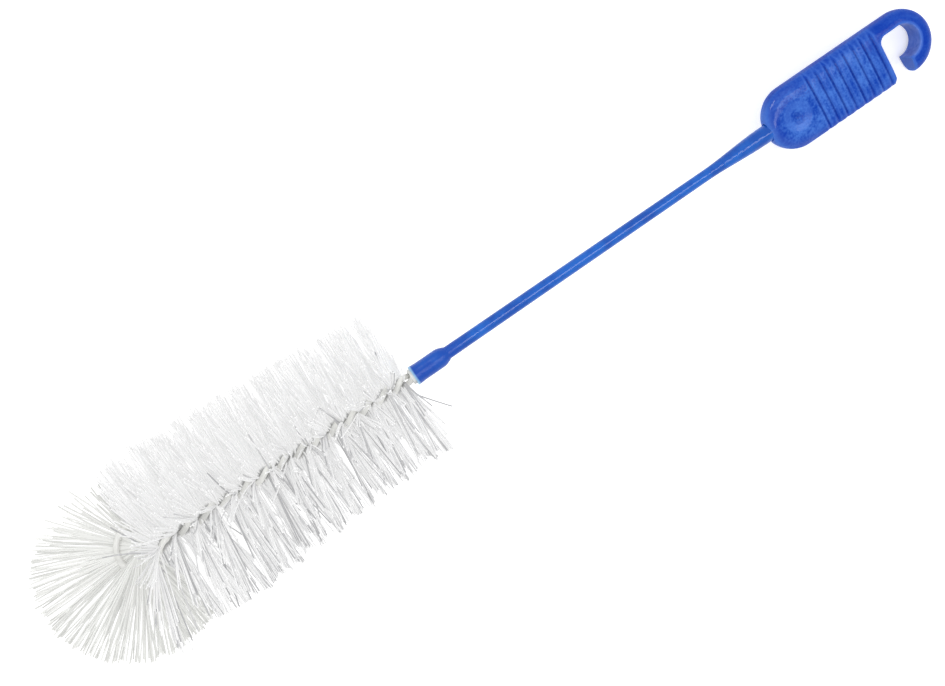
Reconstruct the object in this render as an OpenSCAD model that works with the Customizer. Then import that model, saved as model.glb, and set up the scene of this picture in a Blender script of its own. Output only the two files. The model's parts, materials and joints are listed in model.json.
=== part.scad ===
// Bottle brush: a twisted wire brush head with a round fan tip, on a plastic stem
// with a flat ribbed grip that ends in a hanging hook.
//
// It lies on a table as it comes to rest: the rim of the bristles nearest the grip and the
// hook touch the table (z = 0). +X runs from the fan tip to the hook, +Z is up, and the
// origin is on the table below the middle of the brush.
//
// The pieces are drawn along the brush's own axis first, with x = 0 at the ferrule's mouth,
// and resting() then lays them on the table.

/* [Head] */
// Length of the bristled body along the wire
body_len = 102; // [60:1:140]
// Radius of the bristles at the grip end of the body
rim_r = 31; // [24:0.5:40]
// Radius of the bristles over the tip half of the body, and of the fan
head_r = 36.5; // [28:0.5:45]
// Length over which the bristles grow from the rim radius to the full radius
taper_len = 82; // [30:1:120]
// Free wire between the ferrule's mouth and the first bristles
neck_len = 4; // [2:0.5:15]
// Depth of the flat that the brush's weight presses into the rim
sit_depth = 1; // [0.4:0.1:2]
// Sideways lean of the head in the ferrule's socket, in degrees
head_yaw = 1; // [-1:0.25:1]

/* [Wire] */
// Diameter of the coated wire
wire_d = 2.2; // [1.4:0.1:3]
// Length of one full twist at the tip end of the body
pitch_tip = 18; // [12:0.5:30]
// Length of one full twist at the grip end of the body
pitch_grip = 13.6; // [10:0.4:30]
// Bare twisted wire between the bristles and the loop's lead
tip_bare = 1.7; // [1:0.1:6]
// Radius of the tip loop, to the middle of the wire
loop_r = 9.2; // [7:0.1:14]
// Sideways offset of the loop from the axis
loop_side = 2.5; // [0:0.1:4]
// Distance from the end of the twist to the loop's centre
loop_lead = 8.8; // [6:0.1:12]

/* [Filaments] */
// Thickness of the filament layer gripped between the wires
layer_t = 0.3; // [0.2:0.05:0.6]
// Thickness of the filament layer outside the wires
blade_t = 1.8; // [1:0.1:3]
// Thickness of the flat fan outside the wires
fan_t = 1.8; // [1:0.1:3]
// Length of the filament ends inside the loop
fan_stub = 4; // [1:0.5:5]
// Distance from the loop's centre to the fan's, towards the tip
fan_reach = 7.8; // [4:0.1:10]
// Sideways offset of the fan from the axis
fan_side = -0.5; // [-2:0.1:2]

/* [Stem] */
// Distance from the ferrule's mouth to the grip
stem_len = 164.5; // [100:0.5:260]
// Stem diameter behind the ferrule
stem_d = 5; // [4:0.1:7]
// Smallest stem diameter
waist_d = 4.5; // [3.5:0.1:6]
// Stem diameter where it enters the grip
flare_d = 6.9; // [5.2:0.1:7.5]
// Length of the flare in front of the grip
flare_len = 28; // [15:1:60]
// Length of the ferrule
ferrule_len = 15.5; // [15:0.5:30]
// Thickness of the ferrule's wall
ferrule_wall = 0.65; // [0.5:0.05:1.5]
// Length of the ferrule's round shoulder
shoulder_len = 4; // [2:0.5:6]
// Depth of the socket in the ferrule
socket_depth = 11.5; // [11:0.5:12]
// Flare of the ferrule's mouth, on the radius
lip = 0.2; // [0:0.05:0.4]
// Length of the flared mouth
lip_len = 3; // [1:0.5:6]

/* [Plug] */
// Thickness of the plug's wall
plug_wall = 0.53; // [0.4:0.01:1]
// Length of the plug inside the socket
plug_len = 8; // [4:0.5:10]
// Length of the plug that stands out of the ferrule
plug_proud = 1.1; // [0.5:0.1:1.5]

/* [Grip] */
// Length of the grip from its round end to the end of the hook
grip_len = 76; // [60:1:120]
// Width of the grip
grip_w = 24; // [21:0.5:32]
// Thickness of the grip
grip_t = 10; // [9:0.5:14]
// Rounding of the grip's long edges
edge_r = 2.5; // [1:0.1:3.5]
// Roll of the grip about the brush's axis, in degrees
grip_roll = 17; // [0:1:20]
// Depth of the socket for the stem
tenon_len = 15; // [10:1:18]
// Diameter of the stem inside the grip
tenon_d = 6; // [4:0.1:6.2]
// Depth of the wider seat at the grip's round end
seat_len = 2; // [1.5:0.5:4]
// Radius of the thumb dish
dish_r = 5.9; // [4:0.1:8]
// Depth of the thumb dish
dish_depth = 0.6; // [0.2:0.1:0.9]
// Radius of the deeper ring in the middle of the dish
dish_core_r = 3.2; // [1:0.1:4]

/* [Ribs] */
// Number of grooves across the grip
groove_count = 8; // [3:1:8]
// Distance between grooves
groove_pitch = 4.33; // [3:0.05:5]
// Width of a groove at the surface
groove_w = 1.9; // [1:0.1:2.4]
// Depth of a groove
groove_depth = 0.7; // [0.3:0.1:1]
// Distance from the last groove to the end of the ribbed part
last_rib = 2.3; // [2:0.1:5]

/* [Hook] */
// Diameter of the hook's eye
eye_d = 13; // [10:0.5:14]
// Offset of the eye towards the closed side
eye_side = 0.5; // [0:0.1:1]
// Distance from the eye's centre back to the end of the grip
throat_back = 9.5; // [9:0.1:12]
// Width of the hook's throat
throat_w = 8.8; // [5:0.1:9]
// Rounding of the throat's inner corner
throat_r = 3.3; // [1:0.1:4]
// Rounding of the grip's corner at the throat
corner_r = 2; // [0.5:0.1:3]
// Chamfer on the rims of the eye
eye_chamfer = 0.4; // [0.2:0.1:1.2]

/* [Hidden] */

$fn = 96;
eps = 0.01;
fit_gap = 0.05;       // clearance around a seated plastic piece, on the radius
wire_gap = 0.12;      // clearance between the wire and the filament layer
wire_sides = 8;
steps_per_turn = 16;  // rings in one full twist
loop_step = 10;       // degrees between rings on the tip loop
lead_steps = 8;       // rings between the twist and the loop
fold_steps = 6;       // rings around the fold at the wire's end

// Stations along the brush's axis
body_x1 = -neck_len;
body_x0 = body_x1 - body_len;
bend_x = socket_depth / 2;
wire_end_x = socket_depth - 1;
twist_x0 = body_x0 - tip_bare;
loop_x = twist_x0 - loop_lead;
fan_x = loop_x - fan_reach;
shoulder_x = ferrule_len - shoulder_len;
flare_x = stem_len - flare_len;

// Wires: half the distance between their centres, and the radius around both
wire_r = wire_d / 2;
wire_off = layer_t / 2 + wire_gap + wire_r;
pair_r = wire_off + wire_r;

// Round the wires come the plug, its socket and the ferrule
plug_hole_r = pair_r + fit_gap;
plug_r = plug_hole_r + plug_wall;
socket_r = plug_r + fit_gap;
ferrule_r = socket_r + ferrule_wall;

// Grip stations
half_w = grip_w / 2;
round_x = stem_len + half_w;
hook_x = stem_len + grip_len - half_w;
throat_x0 = hook_x - throat_back;
throat_x1 = throat_x0 + throat_w;
eye_r = eye_d / 2;
eye_top = eye_side + eye_r;

// ---- How the brush lies ----

// Drop of the hook's lowest point below the brush's axis, when the axis is pitched by p
function hook_drop(p) =
    let(across = sin(grip_roll) * cos(p))
    hook_x * sin(p) + (half_w - edge_r) * sqrt(pow(sin(p), 2) + pow(across, 2))
    + (grip_t / 2 - edge_r) * cos(grip_roll) * cos(p) + edge_r;

// Height of the axis at the ferrule's mouth that sets the pressed rim on the table
function mouth_height(p) = (rim_r - sit_depth) * cos(p) + body_x1 * sin(p);

// Pitch at which the rim and the hook both touch: each pass corrects the last
function settled(p, passes = 12) =
    passes == 0 ? p
    : settled(p + asin((mouth_height(p) - hook_drop(p)) / hook_x), passes - 1);

pitch = settled(5);
axis_z = mouth_height(pitch);
mid_x = (hook_x + half_w + fan_x - head_r) / 2 * cos(pitch);
mid_y = (bend_x - fan_x) * sin(head_yaw) + fan_side;

module resting()
    translate([-mid_x, -mid_y, axis_z]) rotate([0, pitch, 0]) children();

// The head leans about the middle of the ferrule's socket
module on_head() translate([bend_x, 0, 0]) rotate([0, 0, -head_yaw]) translate([-bend_x, 0, 0]) children();

// Turns a profile drawn as (radius, x) about the brush's axis
module turned() rotate([0, 90, 0]) rotate([0, 0, 180]) rotate_extrude() children();

// ---- Twist of the wires ----

rate_tip = 1 / pitch_tip;
rate_gain = (1 / pitch_grip - rate_tip) / (body_x1 - twist_x0);

// Number of turns at a distance d from the start of the twist, and the way back
function turns(d) = d * (rate_tip + rate_gain * d / 2);
function twist_d(n) =
    abs(rate_gain) < 1e-9 ? n / rate_tip
    : (sqrt(rate_tip * rate_tip + 2 * rate_gain * n) - rate_tip) / rate_gain;

// Direction, as an angle from +Y about the axis, in which the first wire lies after n turns
function wire_angle(n) = 90 - 360 * n;

// Numbers of turns at which rings are set between two stations
function ring_turns(x0, x1) =
    let(
        n0 = turns(x0 - twist_x0),
        n1 = turns(x1 - twist_x0),
        count = ceil((n1 - n0) * steps_per_turn)
    )
    [for (i = [0:count]) n0 + (n1 - n0) * i / count];

// ---- Swept and ruled shapes ----

function unit(v) = v / norm(v);

// Joins equal rings of points into a closed skin. The diagonals turn over half-way round, so
// that the two faces of a thin twisted blade stay parallel.
module skin(rings) {
    n = len(rings[0]);
    last = (len(rings) - 1) * n;
    walls = [for (i = [0:len(rings) - 2], j = [0:n - 1])
        let(a = i * n + j, b = i * n + (j + 1) % n)
        each (j < n / 2 ? [[a, b, a + n], [b, b + n, a + n]] : [[a, b, b + n], [a, b + n, a + n]])];
    ends = [for (j = [0:n / 2 - 2]) let(q = [j, j + 1, n - 2 - j, n - 1 - j])
        each [[for (k = [3:-1:0]) q[k]], [for (k = q) last + k]]];
    polyhedron([for (r = rings) each r], concat(walls, ends));
}

// One ring of a tube at point p of a path that runs along t, with up as its first side
function tube_ring(p, t, up, r, sides) =
    let(n = unit(up - (up * t) * t), b = cross(t, n))
    [for (k = [0:sides - 1]) p + r * (cos(360 * k / sides) * n + sin(360 * k / sides) * b)];

// A tube through the points, each with its own up direction
function tube(points, ups, r, sides) =
    let(last = len(points) - 1)
    [for (i = [0:last])
        let(t = unit(points[min(i + 1, last)] - points[max(i - 1, 0)]))
        tube_ring(points[i], t, ups[i], r, sides)];

// ---- Handle ----

// A rectangle w by t with round corners, from shapes that stay exact
module rounded_section(w, t, r) {
    square([w - 2 * r, t], center = true);
    square([w, t - 2 * r], center = true);
    for (sx = [-1, 1], sy = [-1, 1])
        translate([sx * (w / 2 - r), sy * (t / 2 - r)]) circle(r);
}

// A bar of that section between two stations, y wide and z thick
module bar(x0, x1, w, t, r)
    translate([x0, 0, 0]) rotate([90, 0, 90]) linear_extrude(x1 - x0) rounded_section(w, t, r);

// A disc with a round rim
module round_disc(r, t, rim)
    rotate_extrude() intersection() {
        rounded_section(2 * r, t, rim);
        translate([0, -t]) square([r, 2 * t]);
    }

// One groove around the grip: a wide shallow step and a narrow deep one
module groove(x)
    for (step = [[groove_w, groove_depth / 2], [groove_w / 2, groove_depth]])
        translate([x - step[0] / 2, 0, 0]) rotate([90, 0, 90]) linear_extrude(step[0]) difference() {
            square([2 * grip_w, 2 * grip_t], center = true);
            rounded_section(grip_w - 2 * step[1], grip_t - 2 * step[1], edge_r - step[1]);
        }

// Ball that cuts a round hollow of radius r into the upper face, to the given depth
module hollow(r, depth) {
    ball_r = (r * r + depth * depth) / (2 * depth);
    translate([round_x, 0, grip_t / 2 + ball_r - depth]) sphere(ball_r);
}

// Shallow round dish in the upper face, with a deeper ring in its middle
module thumb_dish() {
    hollow(dish_r, dish_depth);
    hollow(dish_core_r, dish_depth * 1.5);
}

// Outline of the open space inside the hook, seen from above
module throat_outline() {
    translate([hook_x, eye_side]) circle(eye_r);
    // the hook ends in a flat face below the eye
    out_y = -half_w - 1;
    difference() {
        polygon([
            [throat_x0, eye_top], [hook_x, eye_top], [hook_x, eye_side],
            [throat_x1, eye_side], [throat_x1, out_y], [throat_x0, out_y]
        ]);
        translate([throat_x0, eye_top - throat_r]) difference() {
            square(throat_r);
            translate([throat_r, 0]) circle(throat_r);
        }
    }
    // rounded corner of the grip at the throat
    translate([throat_x0 - corner_r, out_y]) difference() {
        square([corner_r + eps, corner_r + 1]);
        translate([0, corner_r + 1]) circle(corner_r);
    }
}

module handle()
    color([0.1, 0.24, 0.72]) resting() rotate([grip_roll, 0, 0]) difference() {
        union() {
            translate([round_x, 0, 0]) round_disc(half_w, grip_t, edge_r);
            bar(round_x, hook_x, grip_w, grip_t, edge_r);
            translate([hook_x, 0, 0]) round_disc(half_w, grip_t, edge_r);
        }
        for (i = [0:groove_count - 1])
            groove(throat_x0 - last_rib - i * groove_pitch);
        thumb_dish();
        mirror([0, 0, 1]) thumb_dish();
        translate([0, 0, -grip_t]) linear_extrude(2 * grip_t) throat_outline();
        for (side = [0, 1])
            mirror([0, 0, side]) translate([hook_x, eye_side, grip_t / 2 - eye_chamfer])
                cylinder(h = eye_chamfer + eps, r1 = eye_r, r2 = eye_r + eye_chamfer + eps);
        // socket for the stem, with a wider seat at its mouth
        translate([stem_len - 1, 0, 0]) rotate([0, 90, 0])
            cylinder(h = tenon_len + 1 + fit_gap, d = tenon_d + 2 * fit_gap);
        translate([stem_len - 1, 0, 0]) rotate([0, 90, 0])
            cylinder(h = seat_len + 1 + fit_gap, d = flare_d + 2 * fit_gap);
    }

// ---- Stem ----

// Radius along the ferrule's shoulder and along the flare, for s from 0 to 1
function shoulder_r(s) = stem_d / 2 + (ferrule_r - stem_d / 2) * cos(90 * s);
function flare_r(s) = waist_d / 2 + (flare_d - waist_d) / 2 * sin(90 * pow(s, 1.5));

// The flare ends in a short straight collar at the grip
collar_len = 3;

// Ferrule, rod and tenon are one moulding, so one profile is turned
module stem_profile()
    polygon(concat(
        [[0, 0], [ferrule_r + lip, 0], [ferrule_r, lip_len]],
        [for (s = [0:0.125:1]) [shoulder_r(s), shoulder_x + s * shoulder_len]],
        [for (s = [0:0.125:1]) [flare_r(s), flare_x + s * (flare_len - collar_len)]],
        [
            [flare_d / 2, stem_len + seat_len],
            [tenon_d / 2, stem_len + seat_len],
            [tenon_d / 2, stem_len + tenon_len],
            [0, stem_len + tenon_len]
        ]
    ));

module stem()
    color([0.12, 0.38, 0.78]) resting() difference() {
        turned() stem_profile();
        on_head() turned() translate([0, -1]) square([socket_r, socket_depth + 1]);
    }

// ---- Plug ----

module plug()
    color([0.9, 0.9, 0.88]) resting() on_head() turned()
        translate([plug_hole_r, -plug_proud]) square([plug_wall, plug_proud + plug_len]);

// ---- Core wire ----

// One leg of the twisted pair, from the start of the twist to the end in the ferrule
leg_turns = ring_turns(twist_x0, wire_end_x);
function leg_out(n, side) = side * [0, cos(wire_angle(n)), sin(wire_angle(n))];
function leg_point(n, side) = [twist_x0 + twist_d(n), 0, 0] + wire_off * leg_out(n, side);

// Path of the flat loop: a soft lead from the axis to the loop's side, then round it clockwise
loop_a0 = -100;
loop_a1 = -320;
function loop_point(a) = [loop_x + loop_r * cos(a), loop_side + loop_r * sin(a), 0];
function loop_way(a) = [sin(a), -cos(a), 0];
function lead_point(s) =
    let(
        p0 = [twist_x0, 0, 0],
        p1 = loop_point(loop_a0),
        pull = norm(p1 - p0),
        q0 = p0 + [-pull / 3, 0, 0],
        q1 = p1 - loop_way(loop_a0) * pull / 5
    )
    pow(1 - s, 3) * p0 + 3 * s * pow(1 - s, 2) * q0 + 3 * s * s * (1 - s) * q1 + pow(s, 3) * p1;
loop_path = concat(
    [for (i = [1:lead_steps - 1]) lead_point(i / lead_steps)],
    [for (a = [loop_a0:-loop_step:loop_a1]) loop_point(a)]
);
loop_end = loop_path[len(loop_path) - 1];
up = [0, 0, 1];
fold_out = [for (i = [1:fold_steps - 1])
    let(a = 180 * i / fold_steps) cos(a) * up + sin(a) * loop_way(loop_a1)];

// The whole wire in one run: a leg, the upper loop, the fold, the lower loop, the other leg
leg_count = len(leg_turns);
loop_count = len(loop_path);
wire_points = concat(
    [for (i = [leg_count - 1:-1:0]) leg_point(leg_turns[i], 1)],
    [for (p = loop_path) p + wire_off * up],
    [for (o = fold_out) loop_end + wire_off * o],
    [for (i = [loop_count - 1:-1:0]) loop_path[i] - wire_off * up],
    [for (n = leg_turns) leg_point(n, -1)]
);
wire_ups = concat(
    [for (i = [leg_count - 1:-1:0]) leg_out(leg_turns[i], 1)],
    [for (p = loop_path) up],
    fold_out,
    [for (p = loop_path) -up],
    [for (n = leg_turns) leg_out(n, -1)]
);

module core_wire()
    color([0.85, 0.85, 0.82]) resting() on_head()
        skin(tube(wire_points, wire_ups, wire_r, wire_sides));

// ---- Bristles of the body ----

// Reach of the bristles at station x
function bristle_r(x) = rim_r + (head_r - rim_r) * min(1, (body_x1 - x) / taper_len);

// Reach in direction a, cut off where the bristles meet the table
function reach(x, a) =
    let(down = -sin(a) * cos(pitch), height = axis_z - x * sin(pitch))
    down <= 0 ? bristle_r(x) : min(bristle_r(x), height / down);

// Stations along one blade as [distance from the axis, half thickness of the layer]:
// thin between the wires, full thickness outside them
grip_half = wire_r * 1.3;
blade_stations = [
    [grip_half / 2, layer_t / 2],
    [grip_half, layer_t / 2],
    [grip_half * 1.5, blade_t / 2],
    [head_r * 0.4, blade_t / 2]
];

// Section across the axis after n turns: two opposite blades, at right angles to the wires
function blade_ring(n) =
    let(
        x = twist_x0 + twist_d(n),
        a = wire_angle(n) - 90,
        out = [0, cos(a), sin(a)],
        side = [0, -sin(a), cos(a)],
        far = concat(blade_stations, [[reach(x, a), blade_t / 2]]),
        near = concat(blade_stations, [[reach(x, a + 180), blade_t / 2]]),
        last = len(far) - 1,
        line = concat(
            [for (i = [last:-1:0]) [-near[i][0], near[i][1]]],
            [[0, layer_t / 2]],
            far
        ),
        count = len(line)
    )
    concat(
        [for (p = line) [x, 0, 0] + p[0] * out + p[1] * side],
        [for (i = [count - 1:-1:0]) [x, 0, 0] + line[i][0] * out - line[i][1] * side]
    );

module body_bristles()
    color([0.96, 0.96, 0.96]) resting() on_head()
        skin([for (n = ring_turns(body_x0, body_x1)) blade_ring(n)]);

// ---- Fan ----

// The fan begins where the lead has joined the loop
fan_root_x = loop_point(loop_a0)[0] - 0.6;
fan_hole_r = loop_r - wire_r - fan_stub;

// Flat filament layer around the tip loop, thin where the two wires grip it
module fan_bristles()
    color([0.9, 0.9, 0.86]) resting() on_head() difference() {
        translate([0, 0, -fan_t / 2]) linear_extrude(fan_t) difference() {
            intersection() {
                translate([fan_x, fan_side]) circle(head_r);
                translate([fan_root_x - 2 * head_r, -2 * head_r]) square([2 * head_r, 4 * head_r]);
            }
            translate([loop_x, loop_side]) circle(fan_hole_r);
        }
        for (side = [0, 1])
            mirror([0, 0, side]) translate([loop_x, loop_side, layer_t / 2]) rotate_extrude()
                translate([loop_r - grip_half, 0]) square([2 * grip_half, fan_t]);
    }

handle();
stem();
plug();
core_wire();
body_bristles();
fan_bristles();
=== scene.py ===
"""A bottle brush with a twisted wire core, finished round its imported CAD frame.

Stations run along the brush's axis from the mouth of the ferrule: below zero towards the
fan at the tip, above zero towards the hook. The head is everything below zero.
"""

import json
import math
from types import SimpleNamespace

import bmesh
import bpy
from bpy.props import FloatProperty, FloatVectorProperty, IntProperty, PointerProperty
from mathutils import Matrix, Vector

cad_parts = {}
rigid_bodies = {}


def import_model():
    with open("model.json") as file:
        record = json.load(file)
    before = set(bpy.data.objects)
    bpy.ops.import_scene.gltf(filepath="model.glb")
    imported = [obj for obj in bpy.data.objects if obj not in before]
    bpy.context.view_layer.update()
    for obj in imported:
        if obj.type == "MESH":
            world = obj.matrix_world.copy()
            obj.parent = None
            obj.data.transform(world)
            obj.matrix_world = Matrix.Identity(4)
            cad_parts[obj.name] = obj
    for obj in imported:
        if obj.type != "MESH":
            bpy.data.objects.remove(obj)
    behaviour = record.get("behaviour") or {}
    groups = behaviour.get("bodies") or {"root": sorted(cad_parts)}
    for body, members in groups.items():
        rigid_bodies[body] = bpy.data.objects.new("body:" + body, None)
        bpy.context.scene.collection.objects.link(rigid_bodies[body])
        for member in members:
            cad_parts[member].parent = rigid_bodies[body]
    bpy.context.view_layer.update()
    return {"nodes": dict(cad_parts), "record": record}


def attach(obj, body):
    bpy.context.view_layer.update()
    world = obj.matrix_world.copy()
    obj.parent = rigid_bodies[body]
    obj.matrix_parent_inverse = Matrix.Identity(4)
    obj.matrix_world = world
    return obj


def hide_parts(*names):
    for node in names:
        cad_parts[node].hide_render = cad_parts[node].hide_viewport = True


for leftover in list(bpy.data.objects):
    bpy.data.objects.remove(leftover)
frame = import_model()

bl_info = {
    "name": "Bottle Brush",
    "version": (1, 0, 0),
    "blender": (4, 5, 0),
    "location": "View3D > Sidebar > Bottle Brush",
    "description": "Finishes a packed bottle brush: filaments, coated wire, grip, stem and stage",
    "category": "Object",
}

BODY = "root"
MM = 0.001


# ---- Settings ----


def length(name, description, mm):
    """A length setting, given in millimetres and kept in metres."""
    return FloatProperty(
        name=name, description=description, default=mm * MM, unit="LENGTH", precision=5
    )


def share(name, description, default):
    """A setting between nothing and everything."""
    return FloatProperty(
        name=name, description=description, default=default, min=0, max=1, subtype="FACTOR"
    )


def angle(name, description, degrees):
    """An angle setting, given in degrees and kept in radians."""
    return FloatProperty(
        name=name, description=description, default=math.radians(degrees), subtype="ANGLE"
    )


def colour(name, description, default):
    """A colour setting, as linear red, green and blue."""
    return FloatVectorProperty(
        name=name, description=description, default=default, min=0, max=1, size=3, subtype="COLOR"
    )


def number(name, description, default):
    """A whole number that is at least one."""
    return IntProperty(name=name, description=description, default=default, min=1)


class LieSettings(bpy.types.PropertyGroup):
    """Where the parts of the brush stand on its axis."""

    eye_station: length("Eye Station", "Middle of the hook's eye", 228.5)
    eye_side: length("Eye Side", "How far the eye lies to one side of the axis", 0.5)
    bend_station: length("Bend Station", "Where the head leans, half-way down its socket", 5.75)
    head_yaw: angle("Head Lean", "How far the head leans sideways", -1)


class WireSettings(bpy.types.PropertyGroup):
    """The coated wire, doubled and twisted from its loop at the tip."""

    diameter: length("Diameter", "Diameter of one coated leg", 2.2)
    gap: length("Strand Gap", "Room between the two legs for the filaments", 0.54)
    twist_start: length("Twist Start", "Station where the loop's lead becomes the twist", -107.7)
    twist_end: length("Twist End", "Station where the pair ends in the ferrule", 10.5)
    pitch_start: length("Pitch at Start", "Length of one turn at the tip", 18)
    pitch_end: length("Pitch at Ferrule", "Length of one turn beside the ferrule", 13.6)
    pitch_run: length("Pitch Run", "Length over which the pitch changes", 103.7)
    loop_station: length("Loop Station", "Middle of the loop", -116.5)
    loop_side: length("Loop Side", "How far the loop lies to one side of the axis", 2.5)
    loop_radius: length("Loop Radius", "Radius of the loop's path", 9.2)
    loop_first: angle("Loop Start", "Direction in which the lead joins the loop", -100)
    loop_last: angle("Loop End", "Direction in which the loop folds back", -320)
    colour: colour("Coat", "Colour of the plastic coat", (0.84, 0.84, 0.81))


class BodySettings(bpy.types.PropertyGroup):
    """The filaments that stand out from the twisted wire."""

    count: number("Strands", "Number of filament ends", 3500)
    first: length("First Station", "Station of the outermost filament", -116)
    last: length("Last Station", "Station of the filament beside the ferrule", -4)
    rim: length("Rim Radius", "Reach of the filaments beside the ferrule", 31)
    crown: length("Crown Radius", "Reach of the filaments towards the tip", 36.5)
    taper: length("Taper", "Length over which the reach grows", 82)
    diameter: length("Diameter", "Diameter of one filament", 0.64)
    tuft: number("Tuft", "Neighbouring filaments that cling together", 6)
    tooth: number("Tooth", "Neighbouring tufts that end at the same reach", 3)
    cling: share("Cling", "How far a tuft's tips draw together, where the body is parted", 0.75)
    lean: angle("Lean", "How far a filament may lean along the axis", 10)
    sway: angle("Sway", "How far a filament may turn round the axis", 7)
    loose: share("Loose", "Share of the filaments that turn well away from their row", 0.3)
    loose_sway: angle("Loose Sway", "How far such a filament may turn round the axis", 55)
    uneven: share("Uneven Ends", "How much shorter the shortest filaments are", 0.1)
    stray: share("Strays", "Share of the filaments that stand well out of line", 0.01)
    splay: angle("Splay", "How far the outermost filaments lean towards the fan", 10)
    splay_run: length("Splay Run", "Length of the body over which they straighten up", 18)
    lead_side: length("Lead Side", "How far aside the first ones stand, on the loop's lead", -5)
    light: colour("Light", "Colour of the clearest filaments", (0.98, 0.98, 0.98))
    # Dull strands: partly random tone, partly painted shade lines where the body is parted
    shade: colour("Shade", "Colour of the dullest filaments", (0.46, 0.46, 0.47))
    # Painted shade: darkens the roots near the wire, where little light gets in between its legs
    deep: colour("Deep", "Colour of the roots, between the legs of the wire", (0.42, 0.42, 0.42))


class FanSettings(bpy.types.PropertyGroup):
    """The flat spray of filaments round the loop."""

    count: number("Strands", "Number of filaments", 215)
    centre_station: length("Centre Station", "Middle of the fan's round outline", -124.3)
    centre_side: length("Centre Side", "How far the outline lies to one side", -0.5)
    reach: length("Reach", "Radius of the fan's round outline", 36.3)
    root: length("Root", "Distance from the loop's middle at which filaments begin", -4)
    first: angle("First Direction", "Direction of the first filament, from the hook's end", 84)
    last: angle("Last Direction", "Direction of the last filament", 287)
    crowding: share("Crowding", "Below one, filaments crowd towards the last direction", 0.7)
    diameter: length("Diameter", "Diameter of one filament", 0.8)
    tuft: number("Tuft", "Neighbouring filaments that cling together", 5)
    depth: length("Depth", "Thickness of the fan at its rim", 2.4)
    above: share("Above", "Share of the filaments that pass over the loop", 0.5)
    rise: length("Rise", "How high such a filament starts", 4.4)
    cover_start: angle("Cover Start", "Direction from which on they cover the loop", 205)
    light: colour("Light", "Colour of the clearest filaments", (0.82, 0.825, 0.80))
    shade: colour("Shade", "Colour of the dullest filaments", (0.64, 0.645, 0.62))


class GripSettings(bpy.types.PropertyGroup):
    """The moulded grip with its ribs, thumb dish and hook."""

    grain: length("Surface Step", "Size of the smallest step in the moulded surface", 0.32)
    softness: number("Softness", "How often the edges are eased", 7)
    round_station: length("Dish Station", "Middle of the thumb dish", 176.5)
    half_width: length("Half Width", "Half the grip's width", 12)
    half_depth: length("Half Depth", "Half the grip's thickness", 5)
    edge_radius: length("Edge Radius", "Rounding along the grip's edges", 2.5)
    ribs_start: length("Ribs Start", "Station just before the first rib", 184.5)
    ribs_end: length("Ribs End", "Station just after the last rib", 218.3)
    groove_stop: length("Groove Stop", "How far from a side the grooves begin to run out", 1.9)
    fade: length("Groove Fade", "Length over which they run out", 1.3)
    open_side: share("Open Side", "How far they run out on the hook's open side", 0.75)
    hook_start: length("Hook Start", "Station from which the plastic is deeper in colour", 213)
    hook_full: length("Hook Full", "Station at which it is at its deepest", 221)
    crown: share("Crown", "How much thinner the grip is at its sides than in its middle", 0.16)
    bulge: length("Bulge", "How far the sides stand out between the faces", 1.3)
    bulge_width: length("Bulge Width", "Width of the grip's side that takes part", 4)
    stem_clear: length("Stem Clear", "Half width beside the stem where it takes less part", 5)
    eye_radius: length("Eye Radius", "Radius of the hook's eye", 6.5)
    dish_radius: length("Dish Radius", "Radius of the thumb dish", 5.9)
    core_radius: length("Core Radius", "Radius of the round mark in its middle", 3.2)
    colour: colour("Plastic", "Colour of the thick plastic", (0.002, 0.045, 0.38))
    thin: colour("Thin Plastic", "Colour of the paler grain", (0.055, 0.17, 0.60))
    # Painted shade: laid into the grooves, where less light falls
    deep: colour("Deep Plastic", "Colour in the grooves", (0.0, 0.015, 0.22))
    rich: colour("Rich Plastic", "Colour towards the sides and in the hook", (0.0, 0.034, 0.37))
    # Painted highlight: laid on convex edges beside the grooves, round the thumb dish and on the
    # faces towards the tip
    edge: colour("Edges", "Colour where light comes through an edge", (0.08, 0.21, 0.68))
    inside: colour("Eye Wall", "Colour of the wall inside the eye", (0.15, 0.25, 0.68))


class StemSettings(bpy.types.PropertyGroup):
    """The turned stem with its ferrule, and the plug in its mouth."""

    colour: colour("Plastic", "Colour of the stem", (0.001, 0.07, 0.40))
    blotch: colour("Blotch", "Colour of the cloudy patches", (0.006, 0.115, 0.52))
    ferrule: colour("Ferrule", "Colour of the thicker ferrule", (0.0, 0.055, 0.39))
    lip: colour("Lip", "Colour of the thin lip round the mouth", (0.35, 0.60, 0.80))
    ferrule_end: length("Ferrule End", "Station at which the ferrule's colour ends", 24)
    lip_width: length("Lip Width", "Width of the thin lip", 0.9)
    plug: colour("Plug", "Colour of the plug", (0.72, 0.72, 0.69))


class StageSettings(bpy.types.PropertyGroup):
    """Floor, lamps and camera."""

    camera_station: length("Camera Station", "Station straight below the camera", 25.1)
    camera_side: length("Camera Side", "Sideways place of the camera", -2.3)
    camera_height: length("Camera Height", "Height of the camera above the floor", 550)
    camera_roll: angle("Camera Roll", "Turn of the camera about its line of sight", -34.5)
    lens: FloatProperty(name="Lens", description="Focal length", default=53.33, unit="CAMERA")
    ambient: share("Ambient", "Strength of the light from all round", 0.785)
    key: FloatProperty(name="Key", description="Power of the main lamp", default=2.4, unit="POWER")
    line: FloatProperty(name="Line", description="Power of the long lamp", default=4, unit="POWER")


class BrushSettings(bpy.types.PropertyGroup):
    """All the settings of the brush."""

    lie: PointerProperty(type=LieSettings)
    wire: PointerProperty(type=WireSettings)
    body: PointerProperty(type=BodySettings)
    fan: PointerProperty(type=FanSettings)
    grip: PointerProperty(type=GripSettings)
    stem: PointerProperty(type=StemSettings)
    stage: PointerProperty(type=StageSettings)


def own_settings(group):
    """A group's settings without the two that Blender gives every group."""
    return [each for each in group.bl_rna.properties if each.identifier not in ("rna_type", "name")]


def by_name(group):
    """A group's values by the names of its settings."""
    return {each.name: getattr(group, each.identifier) for each in own_settings(group)}


# ---- Node trees ----


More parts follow.
